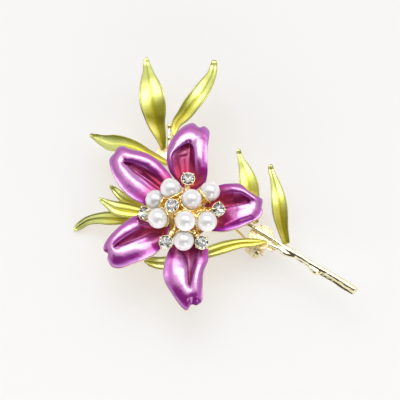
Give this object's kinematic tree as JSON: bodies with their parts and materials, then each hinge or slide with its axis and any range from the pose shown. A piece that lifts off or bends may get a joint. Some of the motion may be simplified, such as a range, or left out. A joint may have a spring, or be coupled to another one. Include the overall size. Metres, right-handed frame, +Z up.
{
  "type": "flower brooch",
  "caption": "Enamelled flower brooch on a gold twig, with pearls and claw-set stones at its centre and a hinged pin that closes into a turning catch.",
  "frame": {"origin": "centre of the brooch's outline on the surface it lies on", "axes": "+Z up from the surface through the front of the brooch, +X along its longest side towards the free end of the twig, +Y towards the two crown leaves"},
  "size_m": [0.0562, 0.0533, 0.015],
  "materials": {
    "gold": "polished pale gold plating",
    "green_enamel": "glossy translucent yellow-green enamel over metal",
    "purple_enamel": "glossy translucent purple enamel over metal",
    "pearl": "lustrous white imitation pearl",
    "stone": "clear cut glass, foiled at the back"
  },
  "bodies": {
    "root": {"twig": "gold", "leaf_crown_left": "green_enamel", "leaf_crown_right": "green_enamel", "leaf_long_left": "green_enamel", "leaf_side_upper": "green_enamel", "leaf_side_middle": "green_enamel", "leaf_side_lower": "green_enamel", "leaf_under": "green_enamel", "leaf_stem_short": "green_enamel", "leaf_stem_tall": "green_enamel", "petal_left": "purple_enamel", "petal_top": "purple_enamel", "petal_right": "purple_enamel", "petal_bottom": "purple_enamel", "petal_low_left": "purple_enamel", "stamen_cluster": "gold", "pearl_1": "pearl", "pearl_2": "pearl", "pearl_3": "pearl", "pearl_4": "pearl", "pearl_5": "pearl", "pearl_6": "pearl", "pearl_7": "pearl", "pearl_8": "pearl", "claw_cup_1": "gold", "claw_cup_2": "gold", "claw_cup_3": "gold", "claw_cup_4": "gold", "claw_cup_5": "gold", "claw_cup_6": "gold", "stone_1": "stone", "stone_2": "stone", "stone_3": "stone", "stone_4": "stone", "stone_5": "stone", "stone_6": "stone", "hinge_block": "gold", "hinge_rivet": "gold", "catch_ring": "gold"},
    "pin": {"pin_wire": "gold"},
    "sleeve": {"catch_sleeve": "gold"}
  },
  "joints": [
    {"name": "pin_hinge", "type": "hinge", "parent": "root", "child": "pin", "pos_m": [-0.0097, 0.0068, 0.00152], "axis": [0.723, 0.6909, 0], "range_deg": [0, 80]},
    {"name": "catch_turn", "type": "hinge", "parent": "root", "child": "sleeve", "pos_m": [0.0084, -0.01214, 0.00152], "axis": [0.6909, -0.723, 0], "range_deg": [0, 95]}
  ]
}
